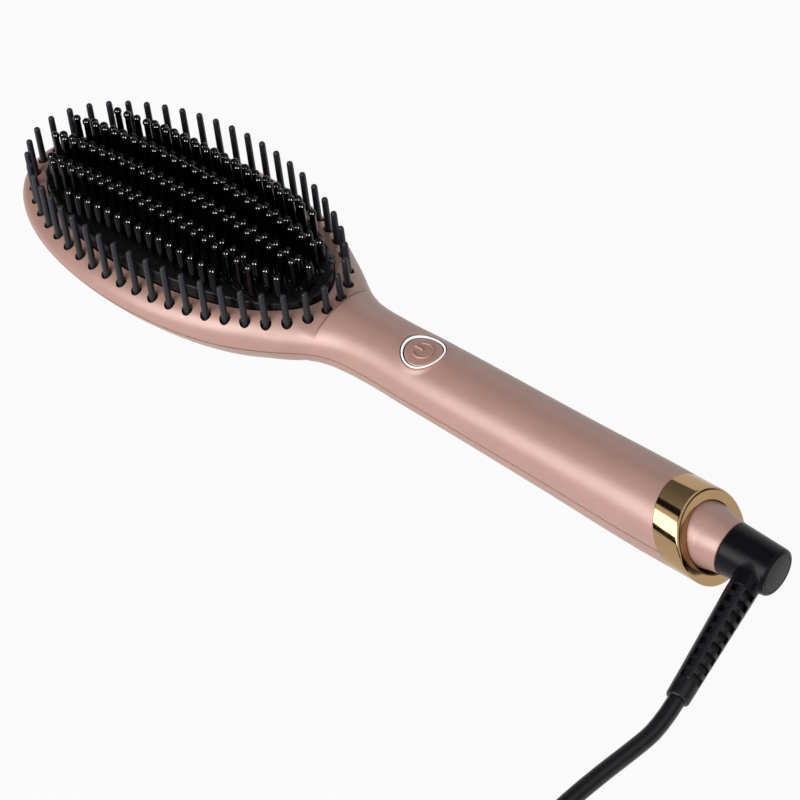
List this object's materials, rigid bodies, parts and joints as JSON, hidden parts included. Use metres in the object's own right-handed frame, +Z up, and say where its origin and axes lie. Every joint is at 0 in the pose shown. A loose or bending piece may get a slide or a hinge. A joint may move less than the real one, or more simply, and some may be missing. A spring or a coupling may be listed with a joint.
{
  "type": "heated styling brush",
  "caption": "Oval heated hair styling brush with rows of heated and ball-tipped pins, a round handle with lit power button, a slanted gold end band and a swivelling cord connector.",
  "frame": {"origin": "middle of the bottom of the brush's box, on the surface that it lies on", "axes": "+X along the handle from the head to the cord end, +Y to the left seen from the head, +Z up, out of the bristle side"},
  "size_m": [0.3821, 0.2263, 0.0467],
  "materials": {
    "rose_casing": "satin metallic rose lacquer",
    "gold_band": "polished, gold anodised",
    "black_coat": "gloss black ceramic coat",
    "black_bristle": "gloss black",
    "grey_bristle": "satin dark grey",
    "outlet": "satin",
    "ceramic": "bare",
    "mica": "mica sheet",
    "sheet_steel": "zinc plated",
    "epoxy": "moulded",
    "black_part": "gloss black",
    "light_guide": "clear white, lit",
    "white_part": "moulded",
    "board": "solder mask",
    "wire": "silicone sleeve",
    "contact": "bright",
    "connector": "satin black",
    "cord_rubber": "matt black",
    "strap": "woven hook-and-loop strap"
  },
  "bodies": {
    "casing": {"front_cover": "rose_casing", "rear_cover": "rose_casing", "swivel_nose": "rose_casing", "end_ring": "gold_band", "heater_plate": "black_coat", "ball_strip_1": "black_bristle", "ball_strip_2": "black_bristle", "ball_strip_3": "black_bristle", "ball_strip_4": "black_bristle", "outer_bristle_frame": "grey_bristle", "ion_outlet": "outlet", "ceramic_heater_1": "ceramic", "ceramic_heater_2": "ceramic", "insulation_sheet": "mica", "heater_clamp": "sheet_steel", "heat_shield": "sheet_steel", "shield_spacers": "sheet_steel", "heater_screws": "sheet_steel", "board_screws": "sheet_steel", "thermistor": "epoxy", "thermal_fuse": "epoxy", "film_capacitor": "epoxy", "ioniser_module": "epoxy", "switch_body": "black_part", "triac": "black_part", "piezo_buzzer": "black_part", "contact_block": "black_part", "button_light_ring": "light_guide", "swivel_bush": "white_part", "status_leds": "white_part", "control_board": "board", "heater_leads": "wire", "sensor_lead": "wire", "mains_leads": "wire", "contact_brush_live": "contact", "contact_brush_neutral": "contact"},
    "button": {"button_cap": "rose_casing", "switch_plunger": "white_part"},
    "swivel": {"connector_body": "connector", "connector_cap": "connector", "retaining_clip": "sheet_steel", "slip_ring_live": "contact", "slip_ring_neutral": "contact", "swivel_leads": "wire", "strain_relief": "cord_rubber", "cord": "cord_rubber", "cord_coil": "cord_rubber", "coil_tie": "strap", "plug_body": "cord_rubber", "plug_pins": "contact"}
  },
  "joints": [
    {"name": "power_button", "type": "slide", "parent": "casing", "child": "button", "axis": [0, 0, -1], "range_m": [0, 0.0006], "stiffness_N_per_m": 1500, "springref_m": -0.0002},
    {"name": "cord_swivel", "type": "hinge", "parent": "casing", "child": "swivel", "pos_m": [0.136, 0, 0.0141], "axis": [1, 0, 0], "continuous": true}
  ]
}
